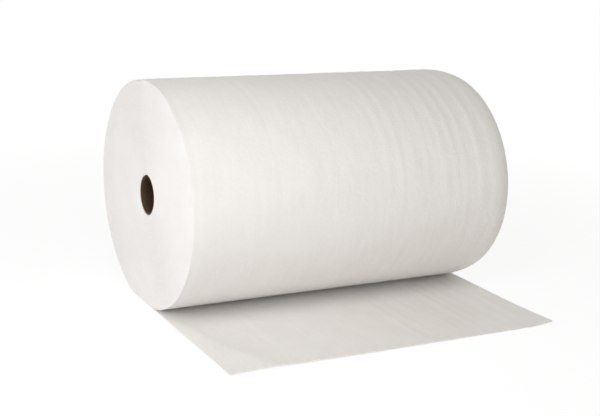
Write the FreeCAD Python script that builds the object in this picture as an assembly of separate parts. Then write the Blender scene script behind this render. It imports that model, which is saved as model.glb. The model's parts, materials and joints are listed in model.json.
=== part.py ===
"""Foam wrap roll: a long web of white foam wound on a cardboard core, its free end laid out in front.

X runs along the roll, +Y is its back, the free end of the web lies towards -Y, and Z is up.
The origin is on the floor, under the middle of the whole part.
"""
import FreeCAD, Part
import math
import os

# Driving dimensions, mm
WEB_WIDTH = 750.0  # the web's width, and so the roll's length
WEB_THICKNESS = 3.0
ROLL_HALF_DEPTH = 268.0  # from the roll's middle to its back
ROLL_HEIGHT = 480.0  # less than its depth, because the soft roll sags
FLAT_SPOT_HALF = 40.0  # half the width of the flat that the roll presses on the floor
TAIL_REACH = 444.0  # from the roll's middle to the web's free edge
CORE_BORE = 76.2
CORE_WALL = 3.5
CORE_RECESS = 2.0  # the foam stands this far past each end of the core
CORE_FORWARD = 10.0  # the core sits this far in front of the roll's middle

# The turns as they show on the end faces. One rib stands for a few turns of the thin web.
RIB_COUNT = 18
RIB_DEPTH = 1.8  # from a rib's crest to the valley beside it
RIB_SLOPE = 0.86  # share of a rib that slopes in gently before the steep step to the next one
HUB_LAND = 8.0  # flat ring of the first turns round the core
RIB_POINTS = 12  # points that each turn of a rib's curve runs through
SKIN_POINTS = 18  # the same for the outer skin

# Worked-out dimensions, mm
CORE_RADIUS = CORE_BORE / 2 + CORE_WALL
UNPRESSED = math.sqrt(1 - (FLAT_SPOT_HALF / ROLL_HALF_DEPTH) ** 2)
ROLL_HALF_HEIGHT = ROLL_HEIGHT / (1 + UNPRESSED)  # of the oval that the floor cuts flat
AXIS_Z = ROLL_HEIGHT - ROLL_HALF_HEIGHT
PRESSED = ROLL_HALF_HEIGHT - AXIS_Z  # how far the oval would reach below the floor
FOAM_DEPTH = ROLL_HALF_DEPTH - CORE_RADIUS  # the wound foam, from the surface to the core
RIB_PITCH = (FOAM_DEPTH - HUB_LAND - 2 * WEB_THICKNESS) / (RIB_COUNT - 1)
LIFT_ANGLE = -math.asin(AXIS_Z / ROLL_HALF_HEIGHT)  # where the web leaves the floor
BACK_REACH = ROLL_HALF_DEPTH - WEB_THICKNESS / 4  # a quarter turn up, the spiral is this much in
AXIS_Y = (TAIL_REACH - BACK_REACH) / 2
HALF_WIDTH = WEB_WIDTH / 2


def oval(inset):
    """Middle and half sizes of the turn that lies inset inside the roll's surface.

    The turns grow from a circle on the core to the sagged oval outside.
    """
    share = inset / FOAM_DEPTH
    middle_y = AXIS_Y - CORE_FORWARD * share
    half_height = ROLL_HALF_HEIGHT + (CORE_RADIUS - ROLL_HALF_HEIGHT) * share
    return middle_y, AXIS_Z, ROLL_HALF_DEPTH - inset, half_height


def oval_point(inset, angle, x):
    """Point of a turn at an angle from +Y towards +Z."""
    middle_y, middle_z, half_depth, half_height = oval(inset)
    y = middle_y + half_depth * math.cos(angle)
    return FreeCAD.Vector(x, y, middle_z + half_height * math.sin(angle))


def pressed_point(inset, angle, x):
    """The same point where the turn is pressed flat at its bottom, less and less towards the core."""
    point = oval_point(inset, angle, x)
    _, middle_z, _, half_height = oval(inset)
    pressed = PRESSED * (1 - inset / FOAM_DEPTH) ** 2
    flat_z = middle_z - half_height + pressed
    point.z = (point.z + flat_z + math.hypot(point.z - flat_z, pressed / 2)) / 2
    return point


def smooth_edge(points):
    """One smooth edge through the points."""
    curve = Part.BSplineCurve()
    curve.interpolate(points)
    return curve.toShape()


def inset_after(turns):
    """How far inside the surface the winding lies, a number of turns after the web leaves the floor.

    The first two turns are as thin as the web, and the ribs inside them are wider.
    """
    return min(turns, 2.0) * WEB_THICKNESS + max(turns - 2.0, 0.0) * RIB_PITCH


def turn_edge(rib, share, x):
    """One turn of the line that runs along a rib, from the bottom round the back to the bottom.

    Share 0 is the rib's own crest, and 1 is the crest of the next rib inside it.
    """
    points = []
    for step in range(RIB_POINTS + 1):
        gone = step / RIB_POINTS
        outer = inset_after(1 + rib + gone)
        inner = inset_after(2 + rib + gone)
        angle = 2 * math.pi * gone - math.pi / 2
        points.append(pressed_point(outer + (inner - outer) * share, angle, x))
    return smooth_edge(points)


def ends_line(edge):
    """The straight edge across the step between the two ends of a turn."""
    return Part.makeLine(edge.Vertexes[-1].Point, edge.Vertexes[0].Point)


def outline(x):
    """The web's outer line in one end face: floor, back, top, front, and out along the free end."""
    landing_oval = oval(WEB_THICKNESS)
    landing = math.pi + math.asin((AXIS_Z - WEB_THICKNESS) / landing_oval[3])
    points = []
    for step in range(SKIN_POINTS + 1):
        gone = step / SKIN_POINTS
        angle = LIFT_ANGLE + (landing - LIFT_ANGLE) * gone
        points.append(oval_point(WEB_THICKNESS * gone, angle, x))
    free_y = AXIS_Y - TAIL_REACH
    free_low = FreeCAD.Vector(x, free_y, 0)
    free_high = FreeCAD.Vector(x, free_y, WEB_THICKNESS)
    return Part.Wire([
        Part.makeLine(free_low, points[0]),
        smooth_edge(points),
        Part.makeLine(points[-1], free_high),
        Part.makeLine(free_high, free_low),
    ])


def core_circle(x, radius=CORE_RADIUS):
    """A circle about the core's axis, by default the edge of the hole that the core fills."""
    middle = FreeCAD.Vector(x, AXIS_Y - CORE_FORWARD, AXIS_Z)
    return Part.Circle(middle, FreeCAD.Vector(1, 0, 0), radius).toShape()


def triangle(first, second, third):
    """A flat three-cornered face."""
    return Part.Face(Part.makePolygon([first, second, third, first]))


def ring_face(outer, inner):
    """A flat face between two closed wires."""
    return Part.makeFace([outer, inner], "Part::FaceMakerBullseye")


def end_faces(side):
    """One end of the roll: the outer turn's cut edge, the spiral ribs and the flat ring round the core."""
    crest_x = side * HALF_WIDTH
    valley_x = side * (HALF_WIDTH - RIB_DEPTH)
    crests = [turn_edge(rib, 0, crest_x) for rib in range(RIB_COUNT)]
    valleys = [turn_edge(rib, RIB_SLOPE, valley_x) for rib in range(RIB_COUNT - 1)]
    faces = []
    for rib, valley in enumerate(valleys):
        faces.append(Part.makeRuledSurface(crests[rib], valley))
        faces.append(Part.makeRuledSurface(valley, crests[rib + 1]))
    for crest, valley_point in (
        (crests[0], valleys[0].Vertexes[0].Point),
        (crests[-1], valleys[-1].Vertexes[-1].Point),
    ):
        faces.append(triangle(crest.Vertexes[0].Point, valley_point, crest.Vertexes[-1].Point))
    outer_loop = Part.Wire([crests[0], ends_line(crests[0])])
    inner_loop = Part.Wire([crests[-1], ends_line(crests[-1])])
    faces.append(ring_face(outline(crest_x), outer_loop))
    faces.append(ring_face(inner_loop, Part.Wire(core_circle(crest_x))))
    return faces


def foam_roll():
    """The wound web and its free end, one solid: two ends, the outer skin and the hole for the core."""
    across = FreeCAD.Vector(WEB_WIDTH, 0, 0)
    faces = end_faces(-1) + end_faces(1)
    faces += outline(-HALF_WIDTH).extrude(across).Faces
    faces += Part.Wire(core_circle(-HALF_WIDTH)).extrude(across).Faces
    shell = Part.makeShell(faces)
    shell.sewShape()
    roll = Part.makeSolid(shell)
    if roll.Volume < 0:  # sewn with its faces turned inwards
        roll.reverse()
    return roll


def core_tube():
    """The cardboard tube that carries the web."""
    end_x = CORE_RECESS - HALF_WIDTH
    wall = ring_face(Part.Wire(core_circle(end_x)), Part.Wire(core_circle(end_x, CORE_BORE / 2)))
    return wall.extrude(FreeCAD.Vector(-2 * end_x, 0, 0))


def main():
    """Writes each piece to its own STEP file."""
    os.makedirs("parts", exist_ok=True)
    pieces = {"foam_roll": foam_roll(), "core_tube": core_tube()}
    for name, shape in pieces.items():
        shape.exportStep(f"parts/{name}.step")
        box = shape.BoundBox
        print(name, "valid", shape.isValid(), "litres", round(shape.Volume / 1e6, 3))
        print("  from", [round(v, 2) for v in (box.XMin, box.YMin, box.ZMin)])
        print("  to", [round(v, 2) for v in (box.XMax, box.YMax, box.ZMax)])


main()
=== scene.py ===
"""Looks of the foam wrap roll.

The web is made as the real one is. A Geometry Nodes tree starts from a long flat ribbon and winds it
on the core, so that every turn is there at both ends, and the outer turn runs on as the free end.
"""

import json
import logging
import math
from dataclasses import dataclass, field
from enum import Enum

import bpy
from mathutils import Matrix, Vector


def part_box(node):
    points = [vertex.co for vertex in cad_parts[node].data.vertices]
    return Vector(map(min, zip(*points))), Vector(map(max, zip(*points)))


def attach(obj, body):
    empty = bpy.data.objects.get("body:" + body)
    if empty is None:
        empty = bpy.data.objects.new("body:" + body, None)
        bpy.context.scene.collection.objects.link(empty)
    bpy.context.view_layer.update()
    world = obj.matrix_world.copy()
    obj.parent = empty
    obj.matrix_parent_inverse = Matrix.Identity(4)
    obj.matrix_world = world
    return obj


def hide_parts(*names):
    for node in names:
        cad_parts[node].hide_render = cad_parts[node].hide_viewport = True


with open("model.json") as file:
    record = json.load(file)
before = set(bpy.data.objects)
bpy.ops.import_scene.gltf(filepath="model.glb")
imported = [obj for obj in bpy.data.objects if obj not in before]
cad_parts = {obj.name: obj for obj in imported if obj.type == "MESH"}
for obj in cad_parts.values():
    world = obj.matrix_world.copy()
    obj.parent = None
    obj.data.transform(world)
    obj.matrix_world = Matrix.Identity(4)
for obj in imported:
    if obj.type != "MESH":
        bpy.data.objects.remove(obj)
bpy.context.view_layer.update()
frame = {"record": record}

LOG = logging.getLogger("foam_wrap_roll")
BODY = "root"
TURN = 2 * math.pi

Socket = bpy.types.NodeSocket
Tree = bpy.types.NodeTree
Colour = tuple[float, float, float]
Place = tuple[float, float, float]

WHITE: Colour = (1.0, 1.0, 1.0)


# ---------------------------------------------------------------- node arithmetic


class Field:
    """A number in a node tree, which ordinary arithmetic turns into Math nodes."""

    def __init__(self, tree: Tree, socket: Socket) -> None:
        """Wraps an output socket of the tree."""
        self.tree = tree
        self.socket = socket

    def apply(self, operation: str, *values: "Field | float") -> "Field":
        """Adds one Math node.

        Args:
            operation: The Math node's operation.
            values: Its inputs, in order, as fields or plain numbers.

        Returns:
            The node's result.
        """
        node = self.tree.nodes.new("ShaderNodeMath")
        node.operation = operation
        for place, value in enumerate(values):
            connect(self.tree, value, node.inputs[place])
        return Field(self.tree, node.outputs[0])

    def __add__(self, other: "Field | float") -> "Field":
        """Sum."""
        return self.apply("ADD", self, other)

    def __radd__(self, other: float) -> "Field":
        """Sum with a plain number in front."""
        return self.apply("ADD", other, self)

    def __sub__(self, other: "Field | float") -> "Field":
        """Difference."""
        return self.apply("SUBTRACT", self, other)

    def __rsub__(self, other: float) -> "Field":
        """Difference from a plain number."""
        return self.apply("SUBTRACT", other, self)

    def __mul__(self, other: "Field | float") -> "Field":
        """Product."""
        return self.apply("MULTIPLY", self, other)

    def __rmul__(self, other: float) -> "Field":
        """Product with a plain number in front."""
        return self.apply("MULTIPLY", other, self)

    def __truediv__(self, other: "Field | float") -> "Field":
        """Quotient."""
        return self.apply("DIVIDE", self, other)

    def __rtruediv__(self, other: float) -> "Field":
        """Quotient of a plain number by this one."""
        return self.apply("DIVIDE", other, self)

    def __pow__(self, other: float) -> "Field":
        """Power."""
        return self.apply("POWER", self, other)

    def __neg__(self) -> "Field":
        """The same number with its sign turned."""
        return self.apply("MULTIPLY", self, -1.0)

    def sin(self) -> "Field":
        """Sine of an angle in radians."""
        return self.apply("SINE", self)

    def cos(self) -> "Field":
        """Cosine of an angle in radians."""
        return self.apply("COSINE", self)

    def exp(self) -> "Field":
        """Exponential."""
        return self.apply("EXPONENT", self)

    def abs(self) -> "Field":
        """Size without the sign."""
        return self.apply("ABSOLUTE", self)

    def sign(self) -> "Field":
        """Minus one, nought or one."""
        return self.apply("SIGN", self)

    def over(self, limit: "Field | float") -> "Field":
        """One where the number is over the limit, and nought elsewhere."""
        return self.apply("GREATER_THAN", self, limit)

    def at_least(self, limit: "Field | float") -> "Field":
        """The number, raised to the limit where it is lower."""
        return self.apply("MAXIMUM", self, limit)

    def at_most(self, limit: "Field | float") -> "Field":
        """The number, cut to the limit where it is higher."""
        return self.apply("MINIMUM", self, limit)

    def clamped(self) -> "Field":
        """The number, kept between nought and one."""
        return self.at_least(0.0).at_most(1.0)

    def hypot(self, other: "Field | float") -> "Field":
        """Length of the vector whose two parts are the numbers."""
        return self.apply("SQRT", self * self + other * other)

    def ramp(self, start: "Field | float", end: "Field | float") -> "Field":
        """Smooth rise from nought at start to one at end."""
        share = ((self - start) / (self.of(end) - start)).clamped()
        return share * share * (3.0 - 2.0 * share)

    def of(self, value: "Field | float") -> "Field":
        """The value as a field of the same tree."""
        return value if isinstance(value, Field) else self.apply("ADD", value, 0.0)


def connect(tree: Tree, value: "Field | Socket | float", socket: Socket) -> None:
    """Links a value to a socket, or writes a plain number on it.

    Args:
        tree: The tree that holds the socket.
        value: A field, an output socket, or a plain value.
        socket: The input that takes it.
    """
    if isinstance(value, Field):
        tree.links.new(value.socket, socket)
    elif isinstance(value, Socket):
        tree.links.new(value, socket)
    else:
        socket.default_value = value


def add_node(tree: Tree, kind: str, settings: dict | None = None, **inputs: object) -> bpy.types.Node:
    """Adds a node and fills its inputs.

    Args:
        tree: The tree to add to.
        kind: The node's type.
        settings: Properties of the node itself.
        inputs: Values for its inputs, by name, with _ for a space.

    Returns:
        The node.
    """
    node = tree.nodes.new(kind)
    for name, value in (settings or {}).items():
        setattr(node, name, value)
    for name, value in inputs.items():
        connect(tree, value, node.inputs[name.replace("_", " ")])
    return node


def combine(tree: Tree, x: object, y: object, z: object = 0.0) -> Socket:
    """A vector from three numbers."""
    return add_node(tree, "ShaderNodeCombineXYZ", X=x, Y=y, Z=z).outputs[0]


def separate(tree: Tree, vector: Socket) -> list[Field]:
    """The three numbers of a vector."""
    node = add_node(tree, "ShaderNodeSeparateXYZ", Vector=vector)
    return [Field(tree, socket) for socket in node.outputs]


def noise(tree: Tree, vector: Socket, scale: float = 1.0, detail: float = 1.0) -> Field:
    """Smooth noise about nought, from about minus a half to a half."""
    node = add_node(tree, "ShaderNodeTexNoise", Vector=vector, Scale=scale, Detail=detail)
    return Field(tree, node.outputs["Fac"]) - 0.5


def socket_of(sockets: bpy.types.bpy_prop_collection, identifier: str) -> Socket:
    """The socket with an identifier, for nodes that have several sockets of one name."""
    return next(socket for socket in sockets if socket.identifier == identifier)


def mix_colours(tree: Tree, share: Field, first: Colour, second: Colour) -> Socket:
    """A colour between two others.

    Args:
        tree: The tree to add to.
        share: How far the colour is from the first towards the second.
        first: The colour at nought.
        second: The colour at one.

    Returns:
        The mixed colour.
    """
    node = add_node(tree, "ShaderNodeMix", {"data_type": "RGBA"})
    connect(tree, share, socket_of(node.inputs, "Factor_Float"))
    connect(tree, (*first, 1.0), socket_of(node.inputs, "A_Color"))
    connect(tree, (*second, 1.0), socket_of(node.inputs, "B_Color"))
    return socket_of(node.outputs, "Result_Color")


def seen_rays(tree: Tree) -> Field:
    """Tells the rays that the camera sees from those that only carry light.

    Args:
        tree: The tree of a material or of the world.

    Returns:
        One for rays that the camera sees, straight or by way of a gloss or glass, and nought for
        the rest.
    """
    rays = tree.nodes.new("ShaderNodeLightPath")
    straight = Field(tree, rays.outputs["Is Camera Ray"])
    glossy = Field(tree, rays.outputs["Is Glossy Ray"])
    passing = Field(tree, rays.outputs["Is Transmission Ray"])
    return straight.at_least(glossy).at_least(passing)


# ---------------------------------------------------------------- finishes


@dataclass(frozen=True)
class FoamFinish:
    """White closed-cell foam: soft, a little see-through, with fine cells and streaks along the web."""

    name: str = "white_foam"
    pale: Colour = (0.94, 0.925, 0.912)
    deep: Colour = (0.87, 0.85, 0.828)
    roughness: float = 0.45
    see_through: float = 0.10
    see_through_depth: float = 0.004
    see_through_tint: Colour = (1.0, 0.95, 0.9)
    cell_size: float = 0.0030
    cell_softness: float = 0.4
    cell_scatter: float = 0.9
    cell_middle: float = 0.35
    cell_shade: float = 0.25
    cell_height: float = 0.00018
    dimple_size: float = 0.0075
    dimple_shade: float = 0.4
    dimple_height: float = 0.00026
    streak_width: float = 0.007
    streak_length: float = 0.22
    streak_detail: float = 3.0
    streak_shade: float = 0.5
    streak_height: float = 0.00010
    mottle_size: float = 0.07
    mottle_detail: float = 3.0
    mottle_shade: float = 0.9

    def build(self) -> bpy.types.Material:
        """Makes the material.

        Returns:
            The material, whose cells follow object coordinates and whose streaks follow the web's UV map.
        """
        material, tree, shader = new_material(self.name)
        place = tree.nodes.new("ShaderNodeTexCoord").outputs["Object"]
        web = add_node(tree, "ShaderNodeUVMap", {"uv_map": "UVMap"}).outputs[0]
        across, along, _ = separate(tree, web)
        streak_place = combine(tree, across / self.streak_width, along / self.streak_length)
        streaks = noise(tree, streak_place, detail=self.streak_detail)
        mottle = noise(tree, place, 1 / self.mottle_size, self.mottle_detail)
        dimples = noise(tree, place, 1 / self.dimple_size)
        cells = add_node(
            tree, "ShaderNodeTexVoronoi", {"feature": "SMOOTH_F1"}, Vector=place,
            Scale=1 / self.cell_size, Smoothness=self.cell_softness, Randomness=self.cell_scatter,
        )
        cell = Field(tree, cells.outputs["Distance"])
        shade = 0.5 + mottle * self.mottle_shade + streaks * self.streak_shade
        shade = shade + dimples * self.dimple_shade + (cell - self.cell_middle) * self.cell_shade
        height = streaks * self.streak_height + dimples * self.dimple_height - cell * self.cell_height
        bump = add_node(tree, "ShaderNodeBump", Strength=1.0, Distance=1.0, Height=height)
        shader.inputs["Roughness"].default_value = self.roughness
        shader.inputs["Subsurface Weight"].default_value = self.see_through
        shader.inputs["Subsurface Radius"].default_value = self.see_through_tint
        shader.inputs["Subsurface Scale"].default_value = self.see_through_depth
        tree.links.new(mix_colours(tree, shade.clamped(), self.pale, self.deep), shader.inputs["Base Color"])
        tree.links.new(bump.outputs[0], shader.inputs["Normal"])
        return material


@dataclass(frozen=True)
class BoardFinish:
    """Brown board with short fibres. Its colours are far darker than real board: painted shade for the dim
    bore.
    """

    name: str = "core_board"
    # Both colours are mostly painted shade. Real board is several times lighter, and the darkness deep in
    # the bore is painted into them.
    dark: Colour = (0.040, 0.023, 0.012)
    light: Colour = (0.085, 0.052, 0.030)
    roughness: float = 0.85
    gloss: float = 0.2
    fibre_width: float = 0.0008
    fibre_length: float = 0.006
    fibre_detail: float = 4.0
    fibre_shade: float = 1.6
    fibre_height: float = 0.00008

    def build(self) -> bpy.types.Material:
        """Makes the material.

        Returns:
            The material, whose fibres follow the tube's UV map.
        """
        material, tree, shader = new_material(self.name)
        web = add_node(tree, "ShaderNodeUVMap", {"uv_map": "UVMap"}).outputs[0]
        across, along, _ = separate(tree, web)
        fibre_place = combine(tree, across / self.fibre_width, along / self.fibre_length)
        fibres = noise(tree, fibre_place, detail=self.fibre_detail)
        shade = (0.5 + fibres * self.fibre_shade).clamped()
        height = fibres * self.fibre_height
        bump = add_node(tree, "ShaderNodeBump", Strength=1.0, Distance=1.0, Height=height)
        shader.inputs["Roughness"].default_value = self.roughness
        shader.inputs["Specular IOR Level"].default_value = self.gloss
        tree.links.new(mix_colours(tree, shade, self.dark, self.light), shader.inputs["Base Color"])
        tree.links.new(bump.outputs[0], shader.inputs["Normal"])
        return material


def new_material(name: str) -> tuple[bpy.types.Material, Tree, bpy.types.Node]:
    """An empty node material.

    Args:
        name: The material's name.

    Returns:
        The material, its tree and its Principled shader.
    """
    material = bpy.data.materials.new(name)
    material.use_nodes = True
    tree = material.node_tree
    return material, tree, tree.nodes["Principled BSDF"]


# ---------------------------------------------------------------- the wound web


@dataclass(frozen=True)
class Ring:
    """One soft ring round the roll. Its place is along the roll, and a negative height is a crease."""

    place: float
    height: float
    width: float = 0.011
    slant: float = 0.0
    last_turn: float = 1.0


@dataclass(frozen=True)
class RingHabit:
    """How the rings wander and fade as they go round. The reach is in metres."""

    weave_rate: float = 2.6
    weave_reach: float = 0.012
    apart: float = 3.0
    strength: float = 0.75
    strength_swing: float = 1.5
    slant_about: float = 0.6
    front_fade: tuple[float, float] = (0.68, 0.80)
    front_loss: float = 0.75
    end_fade: float = 0.12


@dataclass(frozen=True)
class RippleHabit:
    """How the fine and the broad ripples run. Widths, lengths and places are in metres."""

    fine_width: float = 0.014
    fine_length: float = 0.05
    calm_share: float = 0.35
    lively_from: tuple[float, float] = (-0.15, 0.2)
    broad_width: float = 0.040
    broad_length: float = 0.11
    broad_share: float = 2.6
    broad_layer: float = 5.0


@dataclass(frozen=True)
class EdgeHabit:
    """How the cut edges lie: where the outer turn stands off at the near end, and how the rest stagger."""

    loose_width: float = 0.018
    loose_start: tuple[float, float] = (0.50, 0.56)
    loose_end: tuple[float, float] = (0.63, 0.71)
    stagger_rate: float = 0.9
    stagger_detail: float = 2.0
    fine_rate: float = 9.0
    fine_share: float = 0.4
    far_shifts: tuple[float, float] = (7.0, 5.0)
    edge_columns: float = 0.9


@dataclass(frozen=True)
class FreeEndHabit:
    """How the free end lies. Lengths are in metres, and shares run from the roll to the free edge."""

    settle_length: float = 0.04
    thickness_makeup: float = 0.16
    crest_at_roll: float = 0.022
    crest_spread: float = 0.082
    crest_bend: float = 3.0
    fall_length: float = 0.045
    fold_start: tuple[float, float] = (0.10, 0.5)
    fold_ease: tuple[float, float] = (0.75, 1.0)
    fold_loss: float = 0.45
    corner_line: float = 1.25
    corner_slant: float = 0.4
    corner_width: float = 0.15
    corner_bend: float = 1.5
    wave_rates: tuple[float, float] = (7.0, 4.0)
    wave_bias: float = 0.25
    wave_start: tuple[float, float] = (0.2, 1.0)


@dataclass
class RollForm:
    """The roll's sizes, from the frame and from the few that the frame doesn't give, in metres."""

    half_depth: float = 0.268
    core_wall: float = 0.0035
    core_forward: float = 0.010
    flat_half: float = 0.062
    web_thickness: float = 0.003
    rings: tuple[Ring, ...] = (
        Ring(-0.192, -0.7, width=0.006, slant=0.06, last_turn=0.66),
        Ring(-0.115, 0.4),
        Ring(-0.02, 0.4),
        Ring(0.070, 1.1, width=0.009),
        Ring(0.098, 0.8, width=0.007),
        Ring(0.132, 0.6, width=0.009),
        Ring(0.165, 0.7, width=0.008),
        Ring(0.208, 1.3, width=0.009),
        Ring(0.235, 0.7, width=0.006),
        Ring(0.262, 1.1, width=0.008),
        Ring(0.300, 1.4, width=0.009),
        Ring(0.332, 0.8, width=0.007),
    )
    half_width: float = field(init=False)
    height: float = field(init=False)
    free_y: float = field(init=False)
    core_y: float = field(init=False)
    core_radius: float = field(init=False)
    core_z: float = field(init=False)
    half_height: float = field(init=False)
    middle_y: float = field(init=False)
    middle_z: float = field(init=False)
    pressed: float = field(init=False)
    foam_depth: float = field(init=False)
    turns: float = field(init=False)
    free_turns: float = field(init=False)
    landing_y: float = field(init=False)

    def __post_init__(self) -> None:
        """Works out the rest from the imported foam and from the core's bore."""
        low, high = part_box("foam_roll")
        bore = next(mount for mount in frame["record"]["mounts"] if mount["name"] == "core_bore")
        self.half_width = (high.x - low.x) / 2
        self.free_y = low.y
        _, self.core_y, self.core_z = bore["pos_m"]
        self.core_radius = bore["dims"]["r_mm"] / 1000 + self.core_wall
        self.middle_y = self.core_y + self.core_forward
        self.height = high.z - low.z
        unpressed = math.sqrt(1 - (self.flat_half / self.half_depth) ** 2)
        self.half_height = self.height / (1 + unpressed)
        self.middle_z = self.height - self.half_height
        self.pressed = self.half_height - self.middle_z
        self.foam_depth = self.half_depth - self.core_radius
        self.turns = self.foam_depth / self.web_thickness
        self.free_turns = (self.middle_y - self.free_y) / (TURN * self.half_depth)
        self.landing_y = self.middle_y - self.flat_half


@dataclass
class WindingTree:
    """The tree that winds a flat ribbon into a stretch of the web, from one turn count to another.

    Turns are counted from the bottom of the roll, up its back. Below nought they are the free end.
    """

    form: RollForm
    name: str = "wind_web"
    ring_habit: RingHabit = RingHabit()
    ripple_habit: RippleHabit = RippleHabit()
    edge_habit: EdgeHabit = EdgeHabit()
    free_end_habit: FreeEndHabit = FreeEndHabit()
    wrapped_from: tuple[float, float] = (0.02, 0.12)
    flat_softness: float = 0.5
    cut_side: float = 0.999
    cut_end: float = 0.9999
    group: bpy.types.NodeTree = field(init=False)
    inputs: dict[str, str] = field(init=False)
    source: bpy.types.Node = field(init=False)

    def __post_init__(self) -> None:
        """Builds the tree."""
        self.group = bpy.data.node_groups.new(self.name, "GeometryNodeTree")
        self.inputs = {}
        interface = self.group.interface
        interface.new_socket("Geometry", in_out="OUTPUT", socket_type="NodeSocketGeometry")
        for name in (
            "First Turn", "Last Turn", "Half Width", "Half Depth", "Half Height", "Middle Y", "Middle Z",
            "Core Forward", "Core Lift", "Foam Depth", "Pressed", "Thickness", "Fill",
            "Edge Round", "Edge Squeeze", "Edge Soft", "Shoulder Width", "Near Drop", "Far Drop",
            "Drop Fade", "Ring Height", "Ripple Height", "Loose Edge", "Laid Share", "Stagger",
            "Landing Y", "Free Y", "Fold Height", "Far Corner Lift", "Wave Height",
        ):
            self.add_input(name, "NodeSocketFloat")
        for name in ("Columns", "Rows", "Layers"):
            self.add_input(name, "NodeSocketInt")
        self.add_input("Finish", "NodeSocketMaterial")
        self.source = self.group.nodes.new("NodeGroupInput")
        self.build()

    def add_input(self, name: str, kind: str) -> None:
        """Adds a named input and keeps its identifier."""
        socket = self.group.interface.new_socket(name, in_out="INPUT", socket_type=kind)
        self.inputs[name] = socket.identifier

    def value(self, name: str) -> Field:
        """The number on a named input."""
        return Field(self.group, self.source.outputs[name])

    def spread(self, share: Field, reach: Field | float, edge: Field | float, count: Field) -> Field:
        """Moves evenly spaced columns so that the last one lies just past its neighbour, for a rounded edge.

        Args:
            share: Where the column is, from minus one to one.
            reach: Where the outermost columns go.
            edge: Distance from there to their neighbours.
            count: How many columns there are.

        Returns:
            The column's new place.
        """
        inner = 1.0 - 2.0 / (count - 1.0)
        scaled = share.abs() * ((reach - edge) / inner)
        return scaled.at_most(reach) * share.sign()

    def build(self) -> None:
        """Lays out the nodes: a flat ribbon, its UV map, its winding, and its finish."""
        tree = self.group
        get = self.value
        edge_habit = self.edge_habit
        laid = self.free_end_habit
        ribbon = add_node(
            tree, "GeometryNodeMeshCube", Size=(2.0, 2.0, 1.0),
            Vertices_X=get("Columns"), Vertices_Y=get("Rows"), Vertices_Z=get("Layers"),
        )
        side, length, depth = separate(tree, tree.nodes.new("GeometryNodeInputPosition").outputs[0])

        # Where each point of the ribbon is: across the web, along it in turns, and through its thickness.
        x = self.spread(side, get("Half Width"), get("Edge Round"), get("Columns"))
        half_span = (get("Last Turn") - get("First Turn")) / 2.0
        edge_turns = get("Edge Round") / (get("Half Depth") * TURN)
        turn = get("First Turn") + half_span + self.spread(length, half_span, edge_turns, get("Rows"))
        wound = turn.at_least(0.0)
        at_edge = side.abs().over(self.cut_side).at_least(length.abs().over(self.cut_end))
        through = 0.5 + depth * (1.0 - get("Edge Squeeze") * at_edge)

        web_map = combine(tree, x, turn * get("Half Depth") * TURN)
        mapped = add_node(
            tree, "GeometryNodeStoreNamedAttribute", {"data_type": "FLOAT2", "domain": "CORNER"},
            Geometry=ribbon.outputs["Mesh"], Name="UVMap",
        )
        tree.links.new(web_map, next(s for s in mapped.inputs if s.name == "Value" and s.enabled))

        # How deep in the roll it lies. The roll's two ends are a little rounded, and the outer turn ripples.
        shoulder = ((x.abs() - get("Half Width")) / get("Shoulder Width") + 1.0).at_least(0.0)
        far = side.over(0.0)
        end_drop = get("Near Drop") + (get("Far Drop") - get("Near Drop")) * far
        wrapped = wound.ramp(*self.wrapped_from)
        inset = get("Thickness") * (wound + get("Fill") * through)
        drop = end_drop * shoulder * shoulder * (-(inset / get("Drop Fade"))).exp() * wrapped
        raised = self.rings(x, turn) * get("Ring Height") + self.ripples(x, turn) * get("Ripple Height")
        inset = inset + drop - raised * wrapped - self.loose_edge(x, turn) * get("Loose Edge")

        share = inset / get("Foam Depth")
        core_radius = get("Half Depth") - get("Foam Depth")
        half_height = get("Half Height") + (core_radius - get("Half Height")) * share
        angle = wound * TURN
        y = (
            get("Middle Y") - get("Core Forward") * share
            + (get("Half Depth") - inset) * angle.sin()
            + get("Half Depth") * TURN * (turn - wound)
        )
        middle_z = get("Middle Z") + get("Core Lift") * share
        oval_z = middle_z - half_height * angle.cos()
        pressed = get("Pressed") * (1.0 - share) ** 2.0
        flat_z = middle_z - half_height + pressed
        z = (oval_z + flat_z + (oval_z - flat_z).hypot(pressed * self.flat_softness)) / 2.0

        # The free end is as thick as the web, lifts along a soft fold and waves a little.
        free = (get("Landing Y") - y).ramp(0.0, laid.settle_length) * (1.0 - turn.over(0.0))
        makeup = get("Thickness") * through * laid.thickness_makeup
        lift = makeup + self.free_end(x, y) + raised * get("Laid Share")
        z = (z + free * lift).at_least(0.0)

        # The cut ends of the turns stand a little in and out of line.
        broad_shift, fine_shift = edge_habit.far_shifts
        broad_place = combine(tree, turn * edge_habit.stagger_rate, far * broad_shift)
        stagger = noise(tree, broad_place, detail=edge_habit.stagger_detail)
        fine = noise(tree, combine(tree, turn * edge_habit.fine_rate, far * fine_shift))
        outwards = side.sign() * side.abs().over(edge_habit.edge_columns)
        x = x + (stagger + fine * edge_habit.fine_share) * get("Stagger") * outwards

        # A clean-cut edge is shaded flat. The wound turns' edges are shaded as if they were a little worn.
        smooth = add_node(
            tree, "GeometryNodeSetShadeSmooth", Geometry=mapped.outputs[0],
            Shade_Smooth=(1.0 - at_edge).at_least(get("Edge Soft")),
        )
        placed = add_node(
            tree, "GeometryNodeSetPosition", Geometry=smooth.outputs[0], Position=combine(tree, x, y, z)
        )
        real = add_node(tree, "GeometryNodeRealizeInstances", Geometry=placed.outputs[0])
        dressed = add_node(tree, "GeometryNodeSetMaterial", Geometry=real.outputs[0])
        connect(tree, self.source.outputs["Finish"], dressed.inputs["Material"])
        output = tree.nodes.new("NodeGroupOutput")
        tree.links.new(dressed.outputs[0], output.inputs[0])

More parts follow.
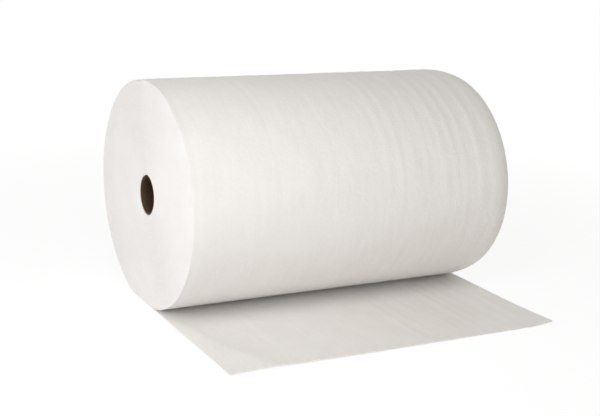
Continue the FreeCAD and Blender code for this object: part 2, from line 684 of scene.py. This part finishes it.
    def rings(self, x: Field, turn: Field) -> Field:
        """The soft rings where the web was wound unevenly.

        Args:
            x: Place across the web.
            turn: Place along it.

        Returns:
            Height of the rings, of which the highest is about one.
        """
        habit = self.ring_habit
        height = x.of(0.0)
        for number, ring in enumerate(self.form.rings):
            weave = noise(self.group, combine(self.group, turn * habit.weave_rate, habit.apart * number))
            line = weave * habit.weave_reach + (turn - habit.slant_about) * ring.slant
            offset = (x - ring.place - line) / ring.width
            front = 1.0 - habit.front_loss * turn.ramp(*habit.front_fade)
            strong = (habit.strength + weave * habit.strength_swing) * front
            if ring.last_turn < 1.0:
                strong = strong * (1.0 - turn.ramp(ring.last_turn - habit.end_fade, ring.last_turn))
            height = height + (-(offset * offset)).exp() * strong * ring.height
        return height

    def ripples(self, x: Field, turn: Field) -> Field:
        """Fine ripples between the rings, stronger towards the far end.

        Args:
            x: Place across the web.
            turn: Place along it.

        Returns:
            Height of the ripples, about nought.
        """
        habit = self.ripple_habit
        along = turn * self.form.half_depth * TURN
        fine_place = combine(self.group, x / habit.fine_width, along / habit.fine_length)
        broad_place = combine(
            self.group, x / habit.broad_width, along / habit.broad_length, habit.broad_layer
        )
        lively = habit.calm_share + (1.0 - habit.calm_share) * x.ramp(*habit.lively_from)
        return noise(self.group, fine_place) * lively + noise(self.group, broad_place) * habit.broad_share

    def loose_edge(self, x: Field, turn: Field) -> Field:
        """Where the outer turn stands off the next at the near end, over the roll's upper front.

        Args:
            x: Place across the web.
            turn: Place along it.

        Returns:
            One where it stands off fully, and nought where it lies tight.
        """
        habit = self.edge_habit
        near = 1.0 - (x + self.form.half_width).ramp(0.0, habit.loose_width)
        return near * turn.ramp(*habit.loose_start) * (1.0 - turn.ramp(*habit.loose_end))

    def free_end(self, x: Field, y: Field) -> Field:
        """How high the free end lies: a low fold runs out to its edge, and its far corner lifts.

        Args:
            x: Place across the web.
            y: Place from the free edge to the roll.

        Returns:
            The height.
        """
        get = self.value
        habit = self.free_end_habit
        out = (get("Landing Y") - y) / (get("Landing Y") - get("Free Y"))

        # The fold's crest leaves the near side more and more, and the web falls away from it on both sides.
        from_near = x + get("Half Width")
        crest = habit.crest_at_roll + habit.crest_spread * out ** habit.crest_bend
        near_side = (from_near / crest).clamped()
        far_side = (-((from_near - crest).at_least(0.0) / habit.fall_length)).exp()
        rise = near_side * (2.0 - near_side) * far_side
        along = out.ramp(*habit.fold_start) * (1.0 - habit.fold_loss * out.ramp(*habit.fold_ease))
        fold = get("Fold Height") * rise * along

        past_line = (x / get("Half Width") - habit.corner_line + habit.corner_slant * out).at_least(0.0)
        corner = get("Far Corner Lift") * (past_line / habit.corner_width) ** habit.corner_bend

        x_rate, y_rate = habit.wave_rates
        wave = noise(self.group, combine(self.group, x * x_rate, y * y_rate)) + habit.wave_bias
        waves = get("Wave Height") * wave.at_least(0.0) * out.ramp(*habit.wave_start)
        return fold + corner + waves


@dataclass
class WebStretch:
    """One stretch of the wound web, as its own piece."""

    form: RollForm
    winding: WindingTree
    name: str
    first_turn: float
    last_turn: float
    columns: int
    rows: int
    layers: int = 2
    fill: float = 0.97
    ring_height: float = 0.0
    ripple_height: float = 0.0
    loose_edge: float = 0.0
    laid_share: float = 0.65
    stagger: float = 0.0
    edge_round: float = 0.0003
    edge_squeeze: float = 0.15
    edge_soft: float = 0.0
    shoulder_width: float = 0.034
    near_drop: float = 0.0003
    far_drop: float = 0.009
    drop_fade: float = 0.022
    fold_height: float = 0.005
    far_corner_lift: float = 0.005
    wave_height: float = 0.0025

    def build(self, finish: bpy.types.Material) -> bpy.types.Object:
        """Runs the tree and keeps its result as a plain mesh.

        Args:
            finish: The foam's material.

        Returns:
            The finished object, at the origin.
        """
        form = self.form
        holder = bpy.data.objects.new(self.name + "_maker", bpy.data.meshes.new(self.name + "_maker"))
        bpy.context.scene.collection.objects.link(holder)
        modifier = holder.modifiers.new("wind", "NODES")
        modifier.node_group = self.winding.group
        values = {
            "First Turn": self.first_turn, "Last Turn": self.last_turn, "Half Width": form.half_width,
            "Half Depth": form.half_depth, "Half Height": form.half_height, "Middle Y": form.middle_y,
            "Middle Z": form.middle_z, "Core Forward": form.core_forward,
            "Core Lift": form.core_z - form.middle_z, "Foam Depth": form.foam_depth,
            "Pressed": form.pressed, "Thickness": form.web_thickness, "Fill": self.fill,
            "Edge Round": self.edge_round, "Edge Squeeze": self.edge_squeeze, "Edge Soft": self.edge_soft,
            "Shoulder Width": self.shoulder_width, "Near Drop": self.near_drop, "Far Drop": self.far_drop,
            "Drop Fade": self.drop_fade, "Ring Height": self.ring_height,
            "Ripple Height": self.ripple_height, "Loose Edge": self.loose_edge,
            "Laid Share": self.laid_share, "Stagger": self.stagger,
            "Landing Y": form.landing_y, "Free Y": form.free_y, "Fold Height": self.fold_height,
            "Far Corner Lift": self.far_corner_lift, "Wave Height": self.wave_height,
            "Columns": self.columns, "Rows": self.rows, "Layers": self.layers, "Finish": finish,
        }
        for name, value in values.items():
            modifier[self.winding.inputs[name]] = value
        return bake(holder, self.name)


def bake(holder: bpy.types.Object, name: str) -> bpy.types.Object:
    """Turns an object's evaluated shape into a plain mesh object, and removes the first object.

    Args:
        holder: The object with live modifiers.
        name: The new object's name.

    Returns:
        The plain object.
    """
    graph = bpy.context.evaluated_depsgraph_get()
    mesh = bpy.data.meshes.new_from_object(holder.evaluated_get(graph), depsgraph=graph)
    mesh.name = name
    piece = bpy.data.objects.new(name, mesh)
    bpy.context.scene.collection.objects.link(piece)
    bpy.data.objects.remove(holder)
    return piece


@dataclass
class Foam:
    """The foam: the outer turn with the free end, and the turns inside it."""

    form: RollForm
    finish: FoamFinish
    outer_columns: int = 181
    outer_rows: int = 261
    inner_columns: int = 6
    rows_per_turn: int = 76

    def build(self) -> None:
        """Makes both stretches of the web and hands them to the frame."""
        form = self.form
        winding = WindingTree(form)
        material = self.finish.build()
        outer = WebStretch(
            form, winding, "outer_turn", first_turn=-form.free_turns, last_turn=1.0,
            columns=self.outer_columns, rows=self.outer_rows,
            ring_height=0.0009, ripple_height=0.0007, loose_edge=0.0014, edge_squeeze=0.0,
        ).build(material)
        inner_turns = form.turns - 2.0
        inner = WebStretch(
            form, winding, "wound_foam", first_turn=1.0, last_turn=form.turns - 1.0,
            columns=self.inner_columns, rows=round(self.rows_per_turn * inner_turns) + 1,
            stagger=0.0006, edge_soft=1.0,
        ).build(material)
        for piece in (outer, inner):
            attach(piece, BODY)
            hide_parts("foam_roll")
            report(piece)
        once_round = math.pi * (form.half_depth + form.half_height)
        length = (form.middle_y - form.free_y) + once_round


# ---------------------------------------------------------------- the core


@dataclass
class Core:
    """The board tube in the middle, with the seam of its innermost ply."""

    form: RollForm
    finish: BoardFinish
    segments: int = 96
    rings: int = 60
    clearance: float = 0.0001
    chamfer: float = 0.0006
    ply_width: float = 0.11
    ply_step: float = 0.0003

    def build(self) -> None:
        """Makes the tube from rings of points, outside and inside, and hands it to the frame."""
        low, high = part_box("core_tube")
        outer = self.form.core_radius - self.clearance
        inner = self.form.core_radius - self.form.core_wall
        loops = [
            (low.x, outer - self.chamfer), (low.x + self.chamfer, outer),
            (high.x - self.chamfer, outer), (high.x, outer - self.chamfer),
        ]
        steps = [high.x - (high.x - low.x) * step / self.rings for step in range(self.rings + 1)]
        loops += [(x, inner) for x in steps]
        vertices = [
            self.point(x, radius, part, radius == inner)
            for x, radius in loops
            for part in range(self.segments)
        ]
        faces = []
        for ring in range(len(loops)):
            here, following = ring * self.segments, (ring + 1) % len(loops) * self.segments
            for part in range(self.segments):
                turned = (part + 1) % self.segments
                faces.append((here + part, here + turned, following + turned, following + part))
        mesh = bpy.data.meshes.new("core_tube_board")
        mesh.from_pydata(vertices, [], faces)
        mesh.validate()
        self.map_board(mesh)
        mesh.shade_smooth()
        mesh.materials.append(self.finish.build())
        piece = bpy.data.objects.new("core_tube_board", mesh)
        bpy.context.scene.collection.objects.link(piece)
        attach(piece, BODY)
        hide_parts("core_tube")
        report(piece)

    def point(self, x: float, radius: float, part: int, inside: bool) -> Place:
        """A point of the tube. Inside, the ply that ends along a helix stands a little proud of the next.

        Args:
            x: Place along the tube.
            radius: Distance from its axis.
            part: Which of the segments round it.
            inside: Whether it is on the bore.

        Returns:
            The point.
        """
        angle = TURN * part / self.segments
        if inside:
            radius += self.ply_step * ((x / self.ply_width + part / self.segments) % 1.0)
        return (x, self.form.core_y + radius * math.cos(angle), self.form.core_z + radius * math.sin(angle))

    def map_board(self, mesh: bpy.types.Mesh) -> None:
        """Gives the tube a UV map in metres: along it, and round it.

        Args:
            mesh: The tube's mesh.
        """
        layer = mesh.uv_layers.new(name="UVMap")
        for polygon in mesh.polygons:
            angles = []
            for index in polygon.loop_indices:
                place = mesh.vertices[mesh.loops[index].vertex_index].co
                angle = math.atan2(place.z - self.form.core_z, place.y - self.form.core_y)
                if angles and angle - angles[0] > math.pi:
                    angle -= TURN
                elif angles and angles[0] - angle > math.pi:
                    angle += TURN
                angles.append(angle)
                layer.data[index].uv = (place.x, angle * self.form.core_radius)


# ---------------------------------------------------------------- floor, light and camera


class Backdrop(Enum):
    """What stands round the object."""

    FLOOR = "floor"
    SKY = "world"


@dataclass(frozen=True)
class Lamp:
    """A round soft lamp that faces the object."""

    name: str
    place: Place
    size: float
    power: float
    colour: Colour = WHITE
    aim: Place = (0.0, -0.05, 0.22)

    def build(self) -> None:
        """Hangs the lamp in its place."""
        data = bpy.data.lights.new(self.name, "AREA")
        data.shape = "DISK"
        data.size = self.size
        data.energy = self.power
        data.color = self.colour
        lamp = bpy.data.objects.new(self.name, data)
        place = Vector(self.place)
        turned = (Vector(self.aim) - place).to_track_quat("-Z", "Y")
        lamp.matrix_world = Matrix.Translation(place) @ turned.to_matrix().to_4x4()
        bpy.context.scene.collection.objects.link(lamp)


@dataclass
class Studio:
    """A white floor, soft light from the near end and a little from the front, and the camera."""

    floor_half: float = 30.0
    floor_tone: float = 0.97
    floor_glow_share: float = 0.85
    near_glow: float = 1.05
    far_glow: float = 1.12
    glow_reach: tuple[float, float] = (0.7, 2.2)
    sky_strength: float = 0.365
    sky_tint: Colour = (1.0, 0.935, 0.84)
    lamps: tuple[Lamp, ...] = (
        Lamp("near_end_lamp", (-1.90, -1.24, 1.12), size=1.4, power=15.5, colour=(0.94, 0.965, 1.0)),
        Lamp("low_end_lamp", (-1.90, 0.15, 0.35), size=0.8, power=4.4, colour=(0.94, 0.965, 1.0)),
        Lamp("front_lamp", (-0.66, -2.48, 0.45), size=0.8, power=6.8),
        Lamp("top_lamp", (-0.72, -0.80, 1.30), size=0.7, power=5.2),
    )
    camera_place: Place = (-1.2399, -2.2049, 0.8511)
    camera_turn: float = 28.326
    camera_down: float = 14.514
    camera_roll: float = 2.429
    camera_lens: float = 71.62
    sensor_width: float = 36.0

    def build(self) -> None:
        """Makes everything that isn't the object."""
        self.floor()
        self.sky()
        for lamp in self.lamps:
            lamp.build()
        self.camera()

    def floor(self) -> None:
        """A wide floor that looks white and keeps the object's shadow."""
        half = self.floor_half
        mesh = bpy.data.meshes.new(Backdrop.FLOOR.value)
        corners = [(-half, -half, 0), (half, -half, 0), (half, half, 0), (-half, half, 0)]
        mesh.from_pydata(corners, [], [(0, 1, 2, 3)])
        material, tree, shader = new_material("floor_white")
        shader.inputs["Base Color"].default_value = (*[self.floor_tone] * 3, 1.0)
        shader.inputs["Roughness"].default_value = 1.0
        shader.inputs["Specular IOR Level"].default_value = 0.0
        aside, away, _ = separate(tree, tree.nodes.new("ShaderNodeTexCoord").outputs["Object"])
        spread = aside.hypot(away).ramp(*self.glow_reach)
        strength = self.near_glow + (self.far_glow - self.near_glow) * spread
        glow = add_node(tree, "ShaderNodeEmission", Color=(*WHITE, 1.0), Strength=strength)
        mix = add_node(tree, "ShaderNodeMixShader", Fac=seen_rays(tree) * self.floor_glow_share)
        for layer, socket in zip((shader, glow), [s for s in mix.inputs if s.type == "SHADER"]):
            tree.links.new(layer.outputs[0], socket)
        tree.links.new(mix.outputs[0], tree.nodes["Material Output"].inputs["Surface"])
        mesh.materials.append(material)
        floor = bpy.data.objects.new(Backdrop.FLOOR.value, mesh)
        bpy.context.scene.collection.objects.link(floor)

    def sky(self) -> None:
        """Even light from all round, which the camera sees as white."""
        world = bpy.data.worlds.new(Backdrop.SKY.value)
        world.use_nodes = True
        tree = world.node_tree
        seen = seen_rays(tree)
        background = tree.nodes["Background"]
        connect(tree, mix_colours(tree, seen, self.sky_tint, WHITE), background.inputs["Color"])
        connect(tree, self.sky_strength + (1.0 - self.sky_strength) * seen, background.inputs["Strength"])
        bpy.context.scene.world = world

    def camera(self) -> None:
        """The camera, turned to the right, tipped down and rolled a little."""
        turn, down, roll = (math.radians(a) for a in (self.camera_turn, self.camera_down, self.camera_roll))
        forward = Vector((math.sin(turn) * math.cos(down), math.cos(turn) * math.cos(down), -math.sin(down)))
        right = Vector((math.cos(turn), -math.sin(turn), 0))
        up = right.cross(forward)
        rolled_right = math.cos(roll) * right + math.sin(roll) * up
        rolled_up = -math.sin(roll) * right + math.cos(roll) * up
        data = bpy.data.cameras.new("camera")
        data.lens = self.camera_lens
        data.sensor_fit = "HORIZONTAL"
        data.sensor_width = self.sensor_width
        camera = bpy.data.objects.new("camera", data)
        rotation = Matrix((rolled_right, rolled_up, -forward)).transposed().to_4x4()
        camera.matrix_world = Matrix.Translation(Vector(self.camera_place)) @ rotation
        bpy.context.scene.collection.objects.link(camera)
        bpy.context.scene.camera = camera


# ---------------------------------------------------------------- putting it together


def report(piece: bpy.types.Object) -> None:
    """Logs a finished piece and its size."""
    LOG.info("%s: %d vertices, %d faces", piece.name, len(piece.data.vertices), len(piece.data.polygons))


def main() -> None:
    """Builds the roll, then the studio round it."""
    logging.basicConfig(level=logging.INFO, format="%(name)s: %(message)s")
    form = RollForm()
    Foam(form, FoamFinish()).build()
    Core(form, BoardFinish()).build()
    Studio().build()
    scene = bpy.context.scene
    scene.view_settings.view_transform = "Standard"


if __name__ == "__main__":
    main()
